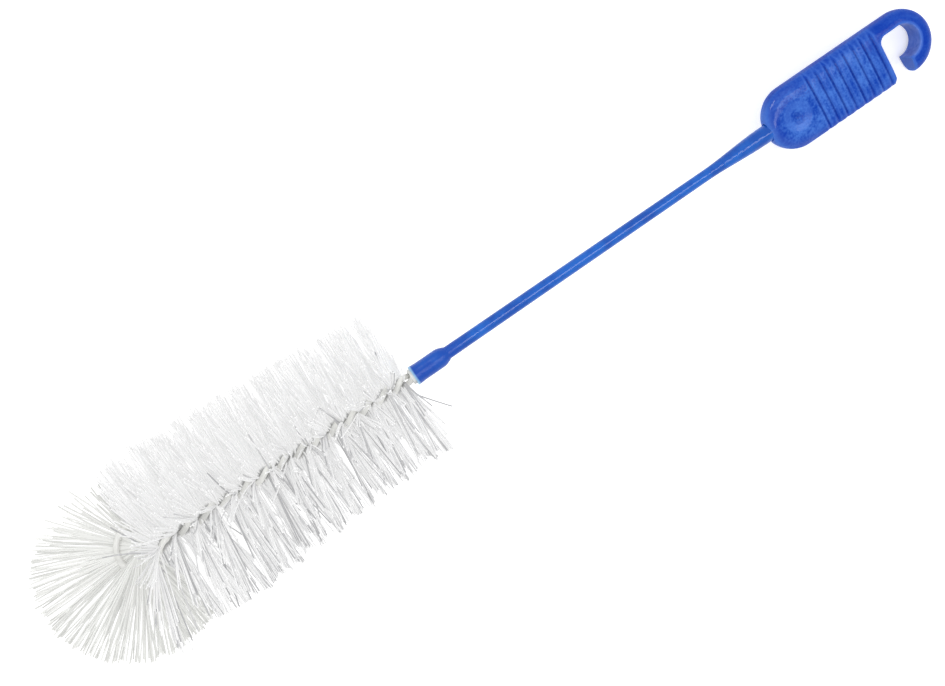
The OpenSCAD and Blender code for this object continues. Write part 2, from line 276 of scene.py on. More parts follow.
def pick(sockets, key):
    """The socket at a position, or the live one with a name."""
    if isinstance(key, int):
        return sockets[key]
    return next(socket for socket in sockets if socket.name == key and socket.enabled)


def by_socket(channels):
    """Keyword arguments by the names of the sockets that they are for."""
    return {key.replace("_", " "): given for key, given in channels.items()}


def arithmetic(operation, swapped=False):
    """A method of Signal that adds one Math node to its tree."""

    def method(self, other):
        operands = (other, self) if swapped else (self, other)
        return self.tree.math(operation, *operands)

    return method


class Signal:
    """A number carried by a socket, that can be reckoned with."""

    def __init__(self, tree, socket):
        self.tree = tree
        self.socket = socket

    __add__ = arithmetic("ADD")
    __radd__ = arithmetic("ADD", swapped=True)
    __sub__ = arithmetic("SUBTRACT")
    __rsub__ = arithmetic("SUBTRACT", swapped=True)
    __mul__ = arithmetic("MULTIPLY")
    __rmul__ = arithmetic("MULTIPLY", swapped=True)
    __truediv__ = arithmetic("DIVIDE")
    __rtruediv__ = arithmetic("DIVIDE", swapped=True)
    __pow__ = arithmetic("POWER")

    def __neg__(self):
        return self * -1


class Tree:
    """A node tree in the making, for a material or for geometry."""

    def __init__(self, tree):
        self.tree = tree
        tree.nodes.clear()

    def node(self, kind, settings=None, inputs=None):
        """Adds one node: its type, its settings, then the values or links of its sockets."""
        made = self.tree.nodes.new(kind)
        for name, setting in (settings or {}).items():
            setattr(made, name, setting)
        for key, given in (inputs or {}).items():
            self.feed(pick(made.inputs, key), given)
        return made

    def feed(self, socket, given):
        """Links a socket, or sets its value."""
        if isinstance(given, Signal):
            given = given.socket
        if isinstance(given, bpy.types.NodeSocket):
            self.tree.links.new(given, socket)
        else:
            socket.default_value = given

    def value(self, kind, settings=None, inputs=None, output=None):
        """Adds one node and gives the number that it works out."""
        made = self.node(kind, settings, inputs)
        if output is None:
            live = next(socket for socket in made.outputs if socket.enabled)
        else:
            live = pick(made.outputs, output)
        return Signal(self, live)

    def math(self, operation, *operands):
        """One Math node."""
        return self.value("ShaderNodeMath", {"operation": operation}, dict(enumerate(operands)))

    def ramp(self, given, low, high):
        """0 where the given number is at low, 1 where it is at high, with soft ends."""
        return self.value(
            "ShaderNodeMapRange",
            {"interpolation_type": "SMOOTHSTEP"},
            {"Value": given, "From Min": low, "From Max": high},
        )


class Finish(Tree):
    """A material made of nodes round one Principled shader."""

    def __init__(self, name, **constants):
        self.material = bpy.data.materials.new(name)
        self.material.use_nodes = True
        super().__init__(self.material.node_tree)
        self.shader = self.node("ShaderNodeBsdfPrincipled")
        self.output = self.node(
            "ShaderNodeOutputMaterial", inputs={"Surface": self.shader.outputs[0]}
        )
        self.place = self.node("ShaderNodeTexCoord").outputs["Object"]
        self.paint(**constants)

    def noise(self, scale, detail=2):
        """Cloudy noise round 0.5, with its scale in patches a metre."""
        return self.value(
            "ShaderNodeTexNoise", inputs={"Vector": self.place, "Scale": scale, "Detail": detail}
        )

    def within(self, distance, radius, fade):
        """1 in the middle and 0 far out, changing between two shares of a radius."""
        inner, outer = fade
        return 1 - self.ramp(distance, inner * radius, outer * radius)

    def blend(self, factor, first, second):
        """A colour between two others."""
        made = self.node(
            "ShaderNodeMix",
            {"data_type": "RGBA"},
            {"Factor": factor, "A": as_colour(first), "B": as_colour(second)},
        )
        return pick(made.outputs, "Result")

    def layered(self, tint, *layers):
        """A colour with others laid over it, each as strongly as its own number says."""
        for strength, over in layers:
            tint = self.blend(strength, tint, over)
        return tint

    def attribute(self, name):
        """A number stored on the mesh."""
        return self.value("ShaderNodeAttribute", {"attribute_name": name}, output="Fac")

    def paint(self, **channels):
        """Feeds the shader's sockets."""
        for key, given in by_socket(channels).items():
            self.feed(self.shader.inputs[key], given)

    def relief(self, height, distance):
        """Raises the surface by a height pattern."""
        bump = self.node("ShaderNodeBump", inputs={"Height": height, "Distance": distance})
        self.paint(Normal=bump.outputs[0])


def as_colour(given):
    """A colour with its alpha, or a link as it is."""
    if isinstance(given, (Signal, bpy.types.NodeSocket)):
        return given
    return (*given, 1)


class Recipe(Tree):
    """A geometry tree with named inputs."""

    def __init__(self, name):
        super().__init__(bpy.data.node_groups.new(name, "GeometryNodeTree"))
        self.tree.interface.new_socket(
            "Geometry", in_out="OUTPUT", socket_type="NodeSocketGeometry"
        )
        self.entry = self.tree.nodes.new("NodeGroupInput")
        self.exit = self.tree.nodes.new("NodeGroupOutput")
        self.sockets = {}

    def ask(self, name, kind="Float"):
        """A named input of the tree."""
        made = self.tree.interface.new_socket(name, in_out="INPUT", socket_type="NodeSocket" + kind)
        self.sockets[name] = made.identifier
        return Signal(self, pick(self.entry.outputs, name))

    def ask_for(self, kind_of_settings):
        """An input for each number in a kind of settings."""
        asked = SimpleNamespace()
        for each in own_settings(kind_of_settings):
            if not each.is_array:
                kind = "Int" if each.type == "INT" else "Float"
                setattr(asked, each.identifier, self.ask(each.name, kind))
        return asked

    def random(self, low, high, seed, key=None):
        """A random number for each point, or for each value of the key."""
        inputs = {"Min": low, "Max": high, "Seed": seed}
        if key is not None:
            inputs["ID"] = key
        return self.value("FunctionNodeRandomValue", {"data_type": "FLOAT"}, inputs)

    def step(self, kind, geometry, **inputs):
        """Adds a node that works on some geometry, and gives what it makes of it."""
        return self.node(kind, inputs={0: geometry, **by_socket(inputs)}).outputs[0]

    def capture(self, geometry, values):
        """Adds the node that holds on to numbers while the geometry changes."""
        made = self.node("GeometryNodeCaptureAttribute", inputs={0: geometry})
        for name in values:
            made.capture_items.new("FLOAT", name)
        for name, given in values.items():
            self.feed(pick(made.inputs, name), given)
        return made

    def cast(self, name, inputs):
        """Runs the tree and keeps what it makes as the plain mesh of a new object.

        The inputs hold a value for each name that was asked for, and may hold more.
        """
        made = add_object(name, bpy.data.meshes.new(name))
        modifier = made.modifiers.new(name, "NODES")
        modifier.node_group = self.tree
        for key, identifier in self.sockets.items():
            modifier[identifier] = inputs[key]
        return settle(made)


def add_object(name, data):
    """A new object in the scene."""
    made = bpy.data.objects.new(name, data)
    bpy.context.scene.collection.objects.link(made)
    return made


def plain_mesh(made):
    """The mesh that an object's curve or modifiers make."""
    evaluated = made.evaluated_get(bpy.context.evaluated_depsgraph_get())
    return bpy.data.meshes.new_from_object(evaluated)


def settle(made):
    """Turns an object's modifiers into its own plain mesh."""
    mesh = plain_mesh(made)
    made.modifiers.clear()
    made.data = mesh
    return made


# ---- How the brush lies ----


class Lie:
    """How the brush lies in the frame: its mouth, its leaning head and its rolled grip."""

    def __init__(self):
        lie = brush_settings().lie
        mount = next(m for m in frame["record"]["mounts"] if m["name"] == "hook_eye")
        normal = Vector(mount["axis"])
        self.pitch = math.atan2(normal.x, normal.z)
        turn = Matrix.Rotation(self.pitch, 4, "Y")
        grip_turn = turn @ Matrix.Rotation(math.asin(-normal.y), 4, "X")
        self.eye = Vector((lie.eye_station, lie.eye_side, 0))
        self.mouth = Vector(mount["pos_m"]) - grip_turn @ self.eye
        place = Matrix.Translation(self.mouth)
        bend = Matrix.Translation((lie.bend_station, 0, 0))
        lean = Matrix.Rotation(lie.head_yaw, 4, "Z")
        self.grip = place @ grip_turn
        self.head = place @ turn @ bend @ lean @ bend.inverted()


def brush_settings():
    """The brush's settings."""
    return bpy.context.scene.bottle_brush


def twist_rate(wire):
    """Turns a metre where the twist starts, and how many it gains in a metre."""
    rate = 1 / wire.pitch_start
    return rate, (1 / wire.pitch_end - rate) / wire.pitch_run


def finish_piece(piece, matrix, slot, *nodes):
    """Puts a piece's mesh in its place and hides the CAD nodes that it stands for; the slot is not
    used.
    """
    piece.data.transform(matrix)
    piece.data.update()
    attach(piece, BODY)
    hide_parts(*nodes)


def let_light_through(piece):
    """Clear filaments hardly dim the light that falls from one to the next."""
    piece.visible_diffuse = False


def coat_node(node, material):
    """Gives a CAD node a better material."""
    for slot in frame["nodes"][node].material_slots:
        slot.material = material


# ---- Filaments ----

STRAND_ENDS = (
    "Root Axial", "Tip Axial", "Root Angle", "Tip Angle", "Root Radius", "Tip Radius", "Tone"
)
STRAND_POINTS = 5
STRAND_SIDES = 5
TIP_TAPER = 0.25


def add_strands(recipe, count, ends, diameter, material, limit=None, beside=None):
    """Grows one bent, tapering filament for each point, between its two ends.

    The ends are given in cylinder coordinates: along the X axis, and angle and radius round it.
    """
    points = recipe.node("GeometryNodePoints", inputs={"Count": count}).outputs[0]
    held = recipe.capture(points, dict(zip(STRAND_ENDS, ends)))
    line = recipe.node("GeometryNodeCurvePrimitiveLine").outputs[0]
    seedling = recipe.step("GeometryNodeResampleCurve", line, Count=STRAND_POINTS)
    placed = recipe.step("GeometryNodeInstanceOnPoints", held.outputs[0], Instance=seedling)
    strands = recipe.step("GeometryNodeRealizeInstances", placed)
    axial_0, axial_1, angle_0, angle_1, radius_0, radius_1, tone = (
        Signal(recipe, held.outputs[name]) for name in STRAND_ENDS
    )
    along = recipe.value("GeometryNodeSplineParameter", output="Factor")
    axial = axial_0 + (axial_1 - axial_0) * along
    turn = angle_0 + (angle_1 - angle_0) * along
    radius = radius_0 + (radius_1 - radius_0) * along
    across = radius * recipe.math("COSINE", turn)
    if beside is not None:
        across = across + beside(axial_0)
    up = radius * recipe.math("SINE", turn)
    if limit is not None:
        up = recipe.math("MAXIMUM", up, limit(axial))
    position = recipe.node("ShaderNodeCombineXYZ", inputs={"X": axial, "Y": across, "Z": up})
    strands = recipe.step("GeometryNodeSetPosition", strands, Position=position.outputs[0])
    for name, value in (("tone", tone), ("along", along)):
        strands = recipe.step("GeometryNodeStoreNamedAttribute", strands, Name=name, Value=value)
    profile = recipe.node(
        "GeometryNodeCurvePrimitiveCircle",
        inputs={"Resolution": STRAND_SIDES, "Radius": diameter / 2},
    )
    strands = recipe.step(
        "GeometryNodeCurveToMesh",
        strands,
        Profile_Curve=profile.outputs[0],
        Scale=1 - TIP_TAPER * along,
        Fill_Caps=True,
    )
    strands = recipe.step("GeometryNodeSetShadeSmooth", strands)
    strands = recipe.step("GeometryNodeSetMaterial", strands, Material=material)
    recipe.feed(recipe.exit.inputs[0], strands)


# The body is parted on one side: cosines of the direction where that begins and is complete
PARTING = (0.5, -0.1)
# Share of a filament's lean and sway that its tuft has in common, and what the parting adds
TUFT_SHARE = 0.35
TUFT_SHARE_PARTED = 0.4
# Share of a filament's shortness that is its own
OWN_SHORTNESS = 0.3
STRAY_LEAN = 3
ROOT_SPREAD = 0.4 * MM
# How dull filaments may be on the closed side, and how much duller the loose ones are; where the
# body is parted, the dull strands also paint the shade lines between the tufts
CLOSED_DULLNESS = 0.12
LOOSE_SHADE_DULLNESS = 0.2


def body_recipe(material):
    """Filaments held by the twisted pair: each one passes through it and stands out both ways."""
    recipe = Recipe("body_filaments")
    body = recipe.ask_for(BodySettings)
    twist_start = recipe.ask("Twist Start")
    rate = recipe.ask("Turns a Metre")
    rate_gain = recipe.ask("Gain in Turns")
    axis_height = recipe.ask("Axis Height")
    axis_slope = recipe.ask("Axis Slope")

    index = recipe.value("GeometryNodeInputIndex")
    pair = recipe.math("FLOOR", index / 2)
    side = index - pair * 2
    run = body.last - body.first
    station = body.first + run * 2 * (pair + recipe.random(0, 1, 1, pair)) / body.count
    bunch = recipe.math("FLOOR", pair / body.tuft)
    middle = body.first + run * 2 * (bunch + 0.5) * body.tuft / body.count
    bunch_end = bunch * 2 + side

    def facing(x):
        """Direction round the axis in which the blade of filaments stands at a station."""
        run_in = x - twist_start
        return side * math.pi - math.tau * run_in * (rate + rate_gain * run_in / 2)

    parted = recipe.ramp(recipe.math("COSINE", facing(station)), *PARTING)
    gathered = station + (middle - station) * body.cling * parted

    def spread(seed):
        """A random number from -1 to 1, partly a strand's own and partly its tuft's."""
        own = recipe.random(-0.5, 0.5, seed) + recipe.random(-0.5, 0.5, seed + 1)
        shared = recipe.random(-1, 1, seed + 2, bunch_end)
        share_of_tuft = TUFT_SHARE + TUFT_SHARE_PARTED * parted
        return (1 - share_of_tuft) * own + share_of_tuft * shared

    grown = recipe.math("MINIMUM", 1, (body.last - station) / body.taper)
    full = body.rim + (body.crown - body.rim) * grown
    tooth = recipe.math("FLOOR", bunch / body.tooth) * 2 + side
    own_shortness = OWN_SHORTNESS * recipe.random(0, 1, 10)
    shortness = own_shortness + (1 - OWN_SHORTNESS) * recipe.random(0, 1, 11, tooth)
    reach = full * (1 - body.uneven * shortness)
    is_stray = parted * recipe.math("LESS_THAN", recipe.random(0, 1, 12), body.stray)
    is_loose = recipe.math("LESS_THAN", recipe.random(0, 1, 15), body.loose)
    loose_turn = is_loose * body.loose_sway * recipe.random(-1, 1, 16)
    outermost = 1 - recipe.math("MINIMUM", 1, (station - body.first) / body.splay_run)
    own_tilt = body.lean * spread(20) * (1 + STRAY_LEAN * is_stray)
    tilt = own_tilt - body.splay * outermost * outermost
    # Random tone, strongest where the body is parted: the dark strands there are partly painted
    # shade
    dullness_with_shade = CLOSED_DULLNESS + (1 - CLOSED_DULLNESS) * parted
    ends = (
        station,
        gathered + reach * recipe.math("TANGENT", tilt),
        facing(station) + loose_turn,
        facing(gathered) + body.sway * spread(30) + loose_turn,
        recipe.random(0, ROOT_SPREAD, 13),
        reach,
        recipe.random(0, 1, 14) ** 3 * dullness_with_shade + LOOSE_SHADE_DULLNESS * is_loose * parted,
    )

    def table(axial):
        """Lowest place a filament may reach, where it is bent by the table."""
        return body.diameter / 2 - axis_height + axial * axis_slope

    def beside(axial):
        """How far the root stands to the side, where it is held by the loop's lead."""
        whole = twist_start - body.first
        into_lead = recipe.math("MAXIMUM", 0, (twist_start - axial) / whole)
        return body.lead_side * into_lead ** 2

    add_strands(recipe, body.count, ends, body.diameter, material, table, beside)
    return recipe


# Where a tuft may stand in its own share of the row, and where along the row looseness ends
TUFT_ROOM = (0.3, 0.7)
LOOSE_ROW = (0.05, 0.25)
# Spacing within a tuft in diameters, what looseness adds, and how much it varies
TUFT_SPACING = 0.8
LOOSE_SPACING = 3
SPACING_VARIES = 0.4
# Most that a filament falls short by: its own share, its tuft's and a loose one's
SHORT_BY = 0.04
TUFT_SHORT_BY = 0.03
LOOSE_SHORT_BY = 0.35
# How far a filament may turn from its place, and how gradually the covering of the loop begins
WOBBLE = 0.01
COVER_EDGE = math.radians(20)
# How far a root may stand from its place: in shares of the depth, in radians and in length
ROOT_DEPTH = 0.25
ROOT_TURN = 0.12
ROOT_REACH = 3 * MM


def fan_recipe(material):
    """Filaments that spread from the loop's middle to a round outline, in a thin layer.

    The layer's own axis is X, and directions are measured from Y to Z.
    """
    recipe = Recipe("fan_filaments")
    fan = recipe.ask_for(FanSettings)
    centre_y = fan.centre_station - recipe.ask("Loop Station")
    centre_z = fan.centre_side - recipe.ask("Loop Side")

    index = recipe.value("GeometryNodeInputIndex")
    bunch = recipe.math("FLOOR", index / fan.tuft)
    slot = index - bunch * fan.tuft - (fan.tuft - 1) / 2
    place = (bunch + recipe.random(*TUFT_ROOM, 1, bunch)) * fan.tuft / fan.count
    loose = 1 - recipe.ramp(place, *LOOSE_ROW)

    def direction(at):
        """Direction of a filament that stands at a share of the whole row."""
        return fan.first + (fan.last - fan.first) * at ** fan.crowding

    varied = recipe.random(0, SPACING_VARIES, 3, bunch)
    beside = fan.diameter / fan.reach * (TUFT_SPACING + LOOSE_SPACING * loose + varied)
    turn = direction(place) + slot * beside + recipe.random(-WOBBLE, WOBBLE, 2)
    along = centre_y * recipe.math("COSINE", turn) + centre_z * recipe.math("SINE", turn)
    apart = centre_y ** 2 + centre_z ** 2 - fan.reach ** 2
    full = along + recipe.math("SQRT", along * along - apart)
    shortness = recipe.random(0, SHORT_BY, 4) + recipe.random(0, TUFT_SHORT_BY, 5, bunch)
    bare = 1 - recipe.ramp(turn, fan.cover_start - COVER_EDGE, fan.cover_start)
    is_above = recipe.math("LESS_THAN", recipe.random(0, 1, 12) + bare, fan.above)
    ends = (
        recipe.random(-ROOT_DEPTH, ROOT_DEPTH, 6) * fan.depth + fan.rise * is_above,
        recipe.random(-0.5, 0.5, 7) * fan.depth,
        turn + recipe.random(-ROOT_TURN, ROOT_TURN, 8),
        turn,
        fan.root + recipe.random(-ROOT_REACH, ROOT_REACH, 9),
        full * (1 - shortness - loose * recipe.random(0, LOOSE_SHORT_BY, 10)),
        recipe.random(0, 1, 11) ** 2,
    )
    add_strands(recipe, fan.count, ends, fan.diameter, material)
    return recipe


# Shares of a filament's length where the painted shade at its root fades and its cut end begins
ROOT_SHADE_FADE = (0.04, 0.09)
CUT_END = (0.75, 1)
# What makes a filament dull: its own tone, which in the body is partly painted shade, specks along
# it and its cut end
TONE_PART = 0.85
SPECK_PART = 0.15
CUT_PART = 0.15
DULL_RANGE = (0.1, 1.1)
NYLON_SPECKS = 900
# Roughness of the clearest filaments, and what dullness adds to it
BODY_ROUGHNESS = 0.5
FAN_ROUGHNESS = 0.3
DULL_ROUGHNESS = 0.2


def filament_finish(name, light, shade, deep, roughness):
    """Clear nylon: each filament has its own tone, partly painted shade in the body, and painted
    shade at its root.
    """
    finish = Finish(name, IOR=1.5, Specular_IOR_Level=0.4)
    tone = finish.attribute("tone")
    along = finish.attribute("along")
    # Painted shade at the root, fading out along the filament
    root = 1 - finish.ramp(along, *ROOT_SHADE_FADE)
    cut_end = finish.ramp(along, *CUT_END)
    dull = TONE_PART * tone + SPECK_PART * finish.noise(NYLON_SPECKS) + CUT_PART * cut_end
    finish.paint(
        Base_Color=finish.layered(light, (finish.ramp(dull, *DULL_RANGE), shade), (root, deep)),
        Roughness=roughness + DULL_ROUGHNESS * tone,
    )
    return finish.material


class BodyFilaments(bpy.types.Operator):
    """Makes the filaments that stand out from the twisted wire"""

    bl_idname = "bottle_brush.body_filaments"
    bl_label = "Body Filaments"

    def execute(self, context):
        body = brush_settings().body
        wire = brush_settings().wire
        lie = Lie()
        material = filament_finish(
            "body_filament_nylon", body.light, body.shade, body.deep, BODY_ROUGHNESS
        )
        rate, rate_gain = twist_rate(wire)
        piece = body_recipe(material).cast(
            "body_filaments",
            {
                **by_name(body),
                "Twist Start": wire.twist_start,
                "Turns a Metre": rate,
                "Gain in Turns": rate_gain,
                "Axis Height": lie.mouth.z / math.cos(lie.pitch),
                "Axis Slope": math.tan(lie.pitch),
            },
        )
        finish_piece(piece, lie.head, "body_filament", "body_bristles")
        let_light_through(piece)
        return {"FINISHED"}


class FanFilaments(bpy.types.Operator):
    """Makes the flat spray of filaments round the loop"""

    bl_idname = "bottle_brush.fan_filaments"
    bl_label = "Fan Filaments"

    def execute(self, context):
        fan = brush_settings().fan
        wire = brush_settings().wire
        # The fan's root colour is its light one, so its roots get no painted shade
        material = filament_finish(
            "fan_filament_nylon", fan.light, fan.shade, fan.light, FAN_ROUGHNESS
        )
        piece = fan_recipe(material).cast(
            "fan_filaments",
            {**by_name(fan), "Loop Station": wire.loop_station, "Loop Side": wire.loop_side},
        )
        loop = Matrix.Translation((wire.loop_station, wire.loop_side, 0))
        flat = Matrix(((0, 1, 0, 0), (0, 0, 1, 0), (1, 0, 0, 0), (0, 0, 0, 1)))
        finish_piece(piece, Lie().head @ loop @ flat, "fan_filament", "fan_bristles")
        let_light_through(piece)
        return {"FINISHED"}


# ---- Core wire ----

STEPS_A_TURN = 36
LEAD_STEPS = 12
LOOP_STEPS = 60
FOLD_STEPS = 12
BEVEL_STEPS = 5
# The lead's handles, in shares of its length
TWIST_PULL = 1 / 3
LOOP_PULL = 1 / 5


def wire_path(wire):
    """The whole wire in one run: a leg, the upper loop, the fold, the lower loop, the other leg."""
    offset = (wire.diameter + wire.gap) / 2
    rate, rate_gain = twist_rate(wire)
    run = wire.twist_end - wire.twist_start
    steps = math.ceil(run * (rate + rate_gain * run / 2) * STEPS_A_TURN)
    middle = Vector((wire.loop_station, wire.loop_side, 0))
    up = Vector((0, 0, 1))

    def leg(share_of_run, side):
        along = run * share_of_run
        turn = math.pi / 2 - math.tau * along * (rate + rate_gain * along / 2)
        out = Vector((0, math.cos(turn), math.sin(turn)))
        return Vector((wire.twist_start + along, 0, 0)) + side * offset * out

    def on_loop(turn):
        return middle + wire.loop_radius * Vector((math.cos(turn), math.sin(turn), 0))

    def loop_way(turn):
        return Vector((math.sin(turn), -math.cos(turn), 0))

    start = Vector((wire.twist_start, 0, 0))
    join = on_loop(wire.loop_first)
    pull = (join - start).length
    handle_0 = start - Vector((pull * TWIST_PULL, 0, 0))
    handle_1 = join - loop_way(wire.loop_first) * pull * LOOP_PULL
    lead = []
    for i in range(1, LEAD_STEPS):
        s = i / LEAD_STEPS
        r = 1 - s
        lead.append(r**3 * start + 3 * s * r**2 * handle_0 + 3 * s**2 * r * handle_1 + s**3 * join)
    sweep = wire.loop_last - wire.loop_first
    loop = [on_loop(wire.loop_first + sweep * i / LOOP_STEPS) for i in range(LOOP_STEPS + 1)]
    flat = lead + loop
    end_way = loop_way(wire.loop_last)
    fold = []
    for i in range(1, FOLD_STEPS):
        turn = math.pi * i / FOLD_STEPS
        fold.append(loop[-1] + offset * (math.cos(turn) * up + math.sin(turn) * end_way))
    return (
        [leg(i / steps, 1) for i in range(steps, -1, -1)]
        + [point + offset * up for point in flat]
        + fold
        + [point - offset * up for point in reversed(flat)]
        + [leg(i / steps, -1) for i in range(steps + 1)]
    )


WIRE_CLOUD = 160
WIRE_GRAIN = 700
WORN_RANGE = (0.35, 0.75)
WORN_GREY = 0.72


def greyed(tint, share_left):
    """A colour with only a share of its light left."""
    return tuple(share_left * channel for channel in tint)


def wire_finish(coat):
    """Glossy plastic coat, a little greyer where it is worn."""
    finish = Finish("coated_wire_white", IOR=1.5, Coat_Weight=0.3, Coat_Roughness=0.15)
    cloud = finish.noise(WIRE_CLOUD, 3)
    worn = finish.ramp(cloud, *WORN_RANGE)
    finish.paint(
        Base_Color=finish.blend(worn, coat, greyed(coat, WORN_GREY)),
        Roughness=0.25 + 0.2 * cloud,
    )
    finish.relief(finish.noise(WIRE_GRAIN), 0.1 * MM)
    return finish.material


class CoreWire(bpy.types.Operator):
    """Makes the coated wire, from its loop at the tip to the ferrule"""

    bl_idname = "bottle_brush.core_wire"
    bl_label = "Core Wire"

    def execute(self, context):
        wire = brush_settings().wire
        points = wire_path(wire)
        curve = bpy.data.curves.new("core_wire_path", "CURVE")
        curve.dimensions = "3D"
        curve.bevel_depth = wire.diameter / 2
        curve.bevel_resolution = BEVEL_STEPS
        curve.use_fill_caps = True
        spline = curve.splines.new("POLY")
        spline.points.add(len(points) - 1)
        for target, point in zip(spline.points, points):
            target.co = (*point, 1)
        path = add_object("core_wire_path", curve)
        piece = add_object("coated_core_wire", plain_mesh(path))
        bpy.data.objects.remove(path)
        piece.data.materials.append(wire_finish(wire.colour))
        finish_piece(piece, Lie().head, "coated_wire", "core_wire")
        return {"FINISHED"}


# ---- Grip ----

# Numbers that the grip's mesh holds at each vertex for its plastic, and for its painted shade and
# highlights
MARKS = ("hollow", "station", "from_dish", "from_spine", "from_eye", "facing_back")
HOLLOW_ROUNDS = 5
MERGE_DISTANCE = 0.005 * MM
EASE_FACTOR = 0.5


def hollows(mesh, rounds):
    """How the surface turns at each vertex: above zero in a groove, below zero on an edge."""
    pairs = [tuple(edge.vertices) for edge in mesh.edges]
    turning = [0.0] * len(mesh.vertices)
    links = [0] * len(mesh.vertices)
    for first, last in pairs:
        step = mesh.vertices[last].co - mesh.vertices[first].co
        step.normalize()
        turning[first] += mesh.vertices[first].normal.dot(step)
        turning[last] -= mesh.vertices[last].normal.dot(step)
        links[first] += 1
        links[last] += 1
    values = [total / max(count, 1) for total, count in zip(turning, links)]
    for _ in range(rounds):
        sums = list(values)
        for first, last in pairs:
            sums[first] += values[last]
            sums[last] += values[first]
        values = [total / (count + 1) for total, count in zip(sums, links)]
    return values


def smooth_side(place, grip, amount):
    """Moves a point of a groove out towards the grip's even side, where the grooves run out."""
    if not grip.ribs_start < place.x < grip.ribs_end:
        return
    corner = grip.half_width - grip.edge_radius
    share_out = amount * min(1, (abs(place.y) - grip.half_width + grip.groove_stop) / grip.fade)
    if share_out <= 0:
        return
    level = grip.half_depth - grip.edge_radius
    inner = math.copysign(min(abs(place.y), corner), place.y)
    centre = Vector((place.x, inner, max(-level, min(level, place.z))))
    out = place - centre
    if out.length > 0:
        even = centre + out.normalized() * grip.edge_radius
        place += (even - place) * share_out


def spine_beside(place, grip, eye_station):
    """The nearest point on the line from the dish's middle to the eye's."""
    return Vector((max(grip.round_station, min(eye_station, place.x)), 0))


def crown(place, grip, eye_station):
    """Domes the grip's faces and rounds its sides."""
    middle = spine_beside(place, grip, eye_station)
    out = place.xy - middle
    reach = out.length
    place.z *= 1 - grip.crown * (reach / grip.half_width) ** 3
    at_side = (reach - grip.half_width) / grip.bulge_width + 1
    if place.x < grip.round_station:
        at_side *= min(1, abs(place.y) / grip.stem_clear)
    if at_side > 0:
        # out by half the bulge between the faces, and in by half beside them
        reach += at_side * grip.bulge * (0.5 - (place.z / grip.half_depth) ** 2)
        place.xy = middle + out.normalized() * reach


# Noises in the grip's plastic, in patches a metre
GRIP_GRAIN = 1100
GRIP_CLOUD = 140
EYE_MOTTLE = 420
# Where marks fade out, in shares of their own radius or of the grip's half width
DISH_FADE = (0.9, 1.15)
CORE_FADE = (0.8, 1.05)
EYE_FADE = (1.02, 1.1)
SIDE_FADE = (0.55, 0.95)
WALL_FADE = (0.92, 1)
# Ranges over which a pattern, or how the surface turns or faces, changes the colour; those of
# turning and facing paint shade into the grooves and highlights on the edges and on the faces
# towards the tip
PALE_RANGE = (0.36, 0.68)
MOTTLE_RANGE = (0.35, 0.65)
GROOVE_SHADE_RANGE = (0.005, 0.06)
EDGE_HIGHLIGHT_RANGE = (0.008, 0.05)
BACK_HIGHLIGHT_RANGE = (0.3, 0.9)


def grip_finish(grip):
    """Slightly clear moulded plastic, grainy, with painted shade in its grooves and painted
    highlights along its edges, round its dish and on its faces towards the tip.
    """
    finish = Finish("grip_blue_plastic", IOR=1.47, Specular_IOR_Level=0.09)
    hollow, station, from_dish, from_spine, from_eye, facing_back = (
        finish.attribute(name) for name in MARKS
    )
    grain = finish.noise(GRIP_GRAIN, 4)
    cloud = finish.noise(GRIP_CLOUD, 3)
    mottle = finish.ramp(finish.noise(EYE_MOTTLE, 3), *MOTTLE_RANGE)
    pale = finish.ramp(0.45 * grain + 0.55 * cloud, *PALE_RANGE)
    in_dish = finish.within(from_dish, grip.dish_radius, DISH_FADE)
    in_core = finish.within(from_dish, grip.core_radius, CORE_FADE)
    eye_wall = finish.within(from_eye, grip.eye_radius, EYE_FADE)
    aside = 1 - finish.within(from_spine, grip.half_width, SIDE_FADE)
    side_wall = 1 - finish.within(from_spine, grip.half_width, WALL_FADE)
    in_hook = finish.ramp(station, grip.hook_start, grip.hook_full)
    on_end = 1 - finish.ramp(station, grip.round_station, grip.ribs_start)
    tint = finish.layered(
        grip.colour,
        (pale, grip.thin),
        (0.55 * aside * (1 - in_hook) + 0.75 * in_hook, grip.rich),
        # Painted highlight: a pale ring in the thumb dish, less at its core
        (0.35 * in_dish - 0.3 * in_core, grip.edge),
        # Painted shade in the grooves
        (0.65 * finish.ramp(hollow, *GROOVE_SHADE_RANGE), grip.deep),
        # Painted highlights on the edges beside the grooves, and painted light on the faces towards
        # the tip
        (0.45 * finish.ramp(-hollow, *EDGE_HIGHLIGHT_RANGE), grip.edge),
        (0.6 * finish.ramp(facing_back, *BACK_HIGHLIGHT_RANGE), grip.edge),
        (eye_wall * (0.3 + 0.5 * mottle), grip.inside),
    )
    finish.paint(
        Base_Color=tint,
        Roughness=0.06 + 0.06 * grain + 0.35 * side_wall + 0.3 * eye_wall,
        Coat_Weight=0.35 * on_end * aside * (1 - side_wall),
    )
    finish.relief(grain, 0.05 * MM)
    return finish.material


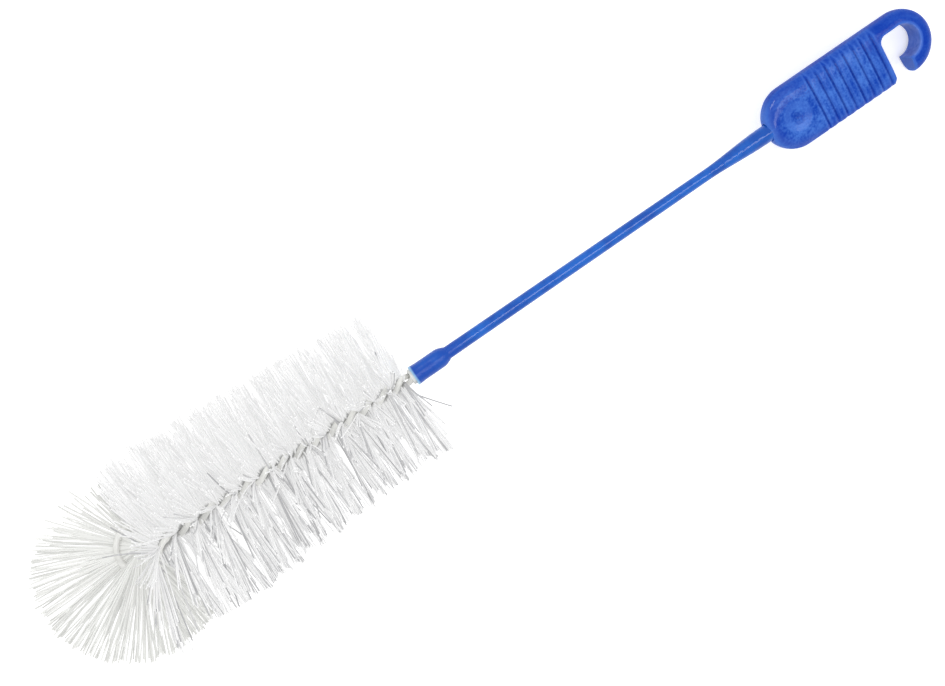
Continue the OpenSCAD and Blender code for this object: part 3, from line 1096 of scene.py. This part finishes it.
class Grip(bpy.types.Operator):
    """Makes the grip's softly moulded surface from its CAD node"""

    bl_idname = "bottle_brush.grip"
    bl_label = "Grip"

    def execute(self, context):
        grip = brush_settings().grip
        lie = Lie()
        mould = bmesh.new()
        mould.from_mesh(frame["nodes"]["handle"].data)
        bmesh.ops.remove_doubles(mould, verts=mould.verts, dist=MERGE_DISTANCE)
        mould.transform(lie.grip.inverted())
        mesh = bpy.data.meshes.new("moulded_grip")
        mould.to_mesh(mesh)
        mould.free()
        piece = add_object("moulded_grip", mesh)
        skin = piece.modifiers.new("Skin", "REMESH")
        skin.mode = "VOXEL"
        skin.voxel_size = grip.grain
        skin.use_smooth_shade = True
        ease = piece.modifiers.new("Ease", "SMOOTH")
        ease.factor = EASE_FACTOR
        ease.iterations = grip.softness
        settle(piece)
        places = [vertex.co for vertex in piece.data.vertices]
        eye = lie.eye.xy
        for place in places:
            smooth_side(place, grip, 1 if place.y > 0 else grip.open_side)
            crown(place, grip, eye.x)
        piece.data.update()
        dish = Vector((grip.round_station, 0))
        values = (
            hollows(piece.data, HOLLOW_ROUNDS),
            [place.x for place in places],
            [(place.xy - dish).length for place in places],
            [(place.xy - spine_beside(place, grip, eye.x)).length for place in places],
            [(place.xy - eye).length for place in places],
            [-vertex.normal.x for vertex in piece.data.vertices],
        )
        for name, numbers in zip(MARKS, values):
            mark = piece.data.attributes.new(name, "FLOAT", "POINT")
            mark.data.foreach_set("value", numbers)
        piece.data.materials.clear()
        piece.data.materials.append(grip_finish(grip))
        finish_piece(piece, lie.grip, "grip_plastic", "handle")
        return {"FINISHED"}


# ---- Stem and plug ----

STEM_CLOUD = 150
PATCH_RANGE = (0.38, 0.66)
# Where the ferrule's and the lip's colours fade out, in shares of their lengths
FERRULE_FADE = (0.7, 1.1)
LIP_FADE = (0.5, 1.5)
# Share of the ferrule's relief that the smooth stem has
STEM_RELIEF = 0.015
PLUG_CLOUD = 350
MARK_RANGE = (0.4, 0.8)
MARK_GREY = 0.75


def stem_finish(stem, mouth):
    """Glossy plastic with cloudy patches, deeper in the ferrule and pale at its lip."""
    finish = Finish("stem_blue_plastic", IOR=1.5, Specular_IOR_Level=0.32)
    along = finish.node("ShaderNodeSeparateXYZ", inputs={"Vector": finish.place})
    station = Signal(finish, along.outputs["X"]) - mouth
    cloud = finish.noise(STEM_CLOUD, 4)
    in_ferrule = finish.within(station, stem.ferrule_end, FERRULE_FADE)
    at_lip = finish.within(station, stem.lip_width, LIP_FADE)
    patches = finish.ramp(cloud, *PATCH_RANGE)
    tint = finish.layered(
        stem.colour,
        (patches, stem.blotch),
        (0.9 * in_ferrule, stem.ferrule),
        (0.3 * patches * in_ferrule, stem.blotch),
        (0.8 * at_lip, stem.lip),
    )
    finish.paint(
        Base_Color=tint,
        Roughness=0.09 + 0.04 * cloud + 0.22 * in_ferrule,
    )
    finish.relief(cloud * (STEM_RELIEF + (1 - STEM_RELIEF) * in_ferrule), 0.6 * MM)
    return finish.material


def plug_finish(tint):
    """Satin plastic with faint grey marks."""
    finish = Finish("plug_ivory_plastic", IOR=1.46)
    cloud = finish.noise(PLUG_CLOUD, 4)
    marked = finish.ramp(cloud, *MARK_RANGE)
    finish.paint(
        Base_Color=finish.blend(marked, tint, greyed(tint, MARK_GREY)),
        Roughness=0.4 + 0.2 * cloud,
    )
    finish.relief(cloud, 0.1 * MM)
    return finish.material


class StemAndPlug(bpy.types.Operator):
    """Gives the stem and the plug in its mouth their plastics"""

    bl_idname = "bottle_brush.stem_and_plug"
    bl_label = "Stem and Plug"

    def execute(self, context):
        stem = brush_settings().stem
        coat_node("stem", stem_finish(stem, Lie().mouth.x))
        coat_node("plug", plug_finish(stem.plug))
        return {"FINISHED"}


# ---- Stage ----

FLOOR_SIZE = 4.0
FLOOR_SQUARES = 8
FLOOR_GLOW = 0.4
PAPER_GRAIN = 300
PAPER_WHITE = (0.93, 0.93, 0.93)
PAPER_SPECK = (0.9, 0.9, 0.9)
SENSOR_WIDTH = 36
# Each lamp's place, and its size along and across the brush, in metres
KEY_PLACE = (-0.2, 0.6, 0.9)
KEY_SIZE = (0.5, 0.16)
LINE_PLACE = (0.4, -0.39, 1)
LINE_SIZE = (1.1, 0.2)
# Rays that meet the white of the floor and the backdrop
SEEN_RAYS = ("Is Camera Ray", "Is Glossy Ray", "Is Transmission Ray")


def add_lamp(name, place, size, power):
    """A soft rectangular lamp that faces the brush's line, long along the brush."""
    lamp = bpy.data.lights.new(name, "AREA")
    lamp.shape = "RECTANGLE"
    lamp.size, lamp.size_y = size
    lamp.energy = power
    holder = add_object(name, lamp)
    holder.location = place
    holder.rotation_euler.x = -math.atan2(place[1], place[2])


def seen(tree):
    """1 for what is seen, mirrored or through something clear too, 0 for what only lights."""
    rays = tree.node("ShaderNodeLightPath").outputs
    direct, mirrored, through = (Signal(tree, rays[name]) for name in SEEN_RAYS)
    return direct + mirrored + through


def white_world(ambient):
    """Even light from all round, in front of a white backdrop."""
    world = bpy.data.worlds.new("white_studio")
    world.use_nodes = True
    world.cycles.sampling_method = "NONE"
    tree = Tree(world.node_tree)
    strength = ambient + (1 - ambient) * seen(tree)
    background = tree.node(
        "ShaderNodeBackground", inputs={"Color": (1, 1, 1, 1), "Strength": strength}
    )
    tree.node("ShaderNodeOutputWorld", inputs={"Surface": background.outputs[0]})
    return world


def floor_finish():
    """White paper that still takes a shadow."""
    finish = Finish("white_floor", Roughness=0.9, Specular_IOR_Level=0.0)
    speck = finish.noise(PAPER_GRAIN)
    finish.paint(Base_Color=finish.blend(speck, PAPER_WHITE, PAPER_SPECK))
    glow = finish.node(
        "ShaderNodeEmission",
        inputs={"Color": (1, 1, 1, 1), "Strength": FLOOR_GLOW * seen(finish)},
    )
    both = finish.node(
        "ShaderNodeAddShader", inputs={0: finish.shader.outputs[0], 1: glow.outputs[0]}
    )
    finish.feed(finish.output.inputs["Surface"], both.outputs[0])
    return finish.material


class Stage(bpy.types.Operator):
    """Makes the floor, the lamps and the camera"""

    bl_idname = "bottle_brush.stage"
    bl_label = "Stage"

    def execute(self, context):
        stage = brush_settings().stage
        scene = context.scene
        lie = Lie()
        floor = bmesh.new()
        bmesh.ops.create_grid(
            floor, x_segments=FLOOR_SQUARES, y_segments=FLOOR_SQUARES, size=FLOOR_SIZE / 2
        )
        mesh = bpy.data.meshes.new("floor")
        floor.to_mesh(mesh)
        floor.free()
        mesh.materials.append(floor_finish())
        add_object("floor", mesh)

        scene.world = white_world(stage.ambient)
        add_lamp("key_lamp", KEY_PLACE, KEY_SIZE, stage.key)
        add_lamp("line_lamp", LINE_PLACE, LINE_SIZE, stage.line)

        camera = add_object("camera", bpy.data.cameras.new("camera"))
        camera.data.lens = stage.lens
        camera.data.sensor_width = SENSOR_WIDTH
        camera.location = (
            lie.mouth.x + stage.camera_station,
            lie.mouth.y + stage.camera_side,
            stage.camera_height,
        )
        camera.rotation_euler = (0, 0, stage.camera_roll)
        scene.camera = camera
        scene.view_settings.view_transform = "Standard"
        return {"FINISHED"}


# ---- Add-on ----

PIECES = (BodyFilaments, FanFilaments, CoreWire, Grip, StemAndPlug, Stage)
GROUPS = (
    LieSettings, WireSettings, BodySettings, FanSettings, GripSettings, StemSettings,
    StageSettings, BrushSettings,
)


class BrushPanel(bpy.types.Panel):
    """Lists the brush's pieces and settings"""

    bl_idname = "VIEW3D_PT_bottle_brush"
    bl_label = "Bottle Brush"
    bl_space_type = "VIEW_3D"
    bl_region_type = "UI"
    bl_category = "Bottle Brush"

    def draw(self, context):
        for piece in PIECES:
            self.layout.operator(piece.bl_idname)
        for each in own_settings(brush_settings()):
            group = getattr(brush_settings(), each.identifier)
            box = self.layout.box()
            box.label(text=each.identifier.capitalize())
            for setting in own_settings(group):
                box.prop(group, setting.identifier)


def register():
    """Registers the settings, the operators and the panel."""
    for each in (*GROUPS, *PIECES, BrushPanel):
        bpy.utils.register_class(each)
    bpy.types.Scene.bottle_brush = PointerProperty(type=BrushSettings)


def unregister():
    """Takes them all away again."""
    del bpy.types.Scene.bottle_brush
    for each in reversed((*GROUPS, *PIECES, BrushPanel)):
        bpy.utils.unregister_class(each)


def main():
    """Registers everything and makes the pieces in order."""
    register()
    bpy.ops.bottle_brush.body_filaments()
    bpy.ops.bottle_brush.fan_filaments()
    bpy.ops.bottle_brush.core_wire()
    bpy.ops.bottle_brush.grip()
    bpy.ops.bottle_brush.stem_and_plug()
    bpy.ops.bottle_brush.stage()


if __name__ == "__main__":
    main()
